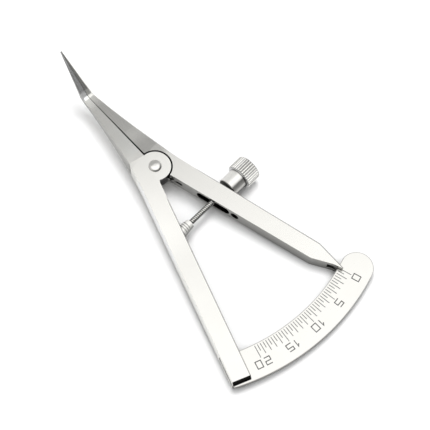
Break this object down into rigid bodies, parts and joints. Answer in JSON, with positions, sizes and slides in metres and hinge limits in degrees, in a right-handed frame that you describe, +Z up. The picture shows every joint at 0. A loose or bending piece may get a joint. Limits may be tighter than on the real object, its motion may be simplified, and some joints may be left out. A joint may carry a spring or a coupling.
{
  "type": "lever caliper with thumb-nut adjustment",
  "caption": "Small two-arm lever caliper: upturned pointed tips, half-lap riveted pivot, engraved arc scale and a knurled thumb nut on a threaded stud that opens and closes the tips.",
  "frame": {"origin": "on the pivot's axis, level with the two arms' flat underside", "axes": "+Z up through the pivot to the engraved side, +Y from the pivot to the closed tips, +X towards the moving arm and the thumb nut"},
  "size_m": [0.0463, 0.0943, 0.0131],
  "materials": {
    "satin_steel": "satin",
    "plate_steel": "satin, engraved",
    "bright_steel": "bright turned",
    "thread_steel": "machined thread",
    "spring_steel": "rolled strip"
  },
  "bodies": {
    "fixed": {"fixed_arm": "satin_steel", "scale_plate": "plate_steel", "plate_pin_1": "satin_steel", "plate_pin_2": "satin_steel", "pivot_rivet": "bright_steel", "threaded_stud": "thread_steel"},
    "moving": {"moving_arm": "satin_steel", "leaf_spring": "spring_steel"},
    "sleeve": {"thrust_sleeve": "bright_steel"},
    "thumb": {"thumb_nut": "bright_steel"},
    "lock": {"lock_nut": "bright_steel"}
  },
  "joints": [
    {"name": "arm_pivot", "type": "hinge", "parent": "fixed", "child": "moving", "pos_m": [0, 0, 0], "axis": [0, 0, -1], "range_deg": [0, 25]},
    {"name": "nut_travel", "type": "slide", "parent": "fixed", "child": "sleeve", "axis": [-0.9952, -0.0976, 0], "range_m": [0, 0.00682]},
    {"name": "thumb_spin", "type": "hinge", "parent": "sleeve", "child": "thumb", "pos_m": [0.0165, -0.01446, 0.00185], "axis": [-0.9952, -0.0976, 0], "range_deg": [0, 4900]},
    {"name": "lock_nut_turn", "type": "hinge", "parent": "fixed", "child": "lock", "pos_m": [-0.0038, -0.01645, 0.00185], "axis": [-0.9952, -0.0976, 0], "range_deg": [0, 360]}
  ],
  "couplings": [
    {"joint": "nut_travel", "follows": "arm_pivot", "m_per_rad": 0.015584},
    {"joint": "thumb_spin", "follows": "arm_pivot", "ratio": 195.84}
  ]
}
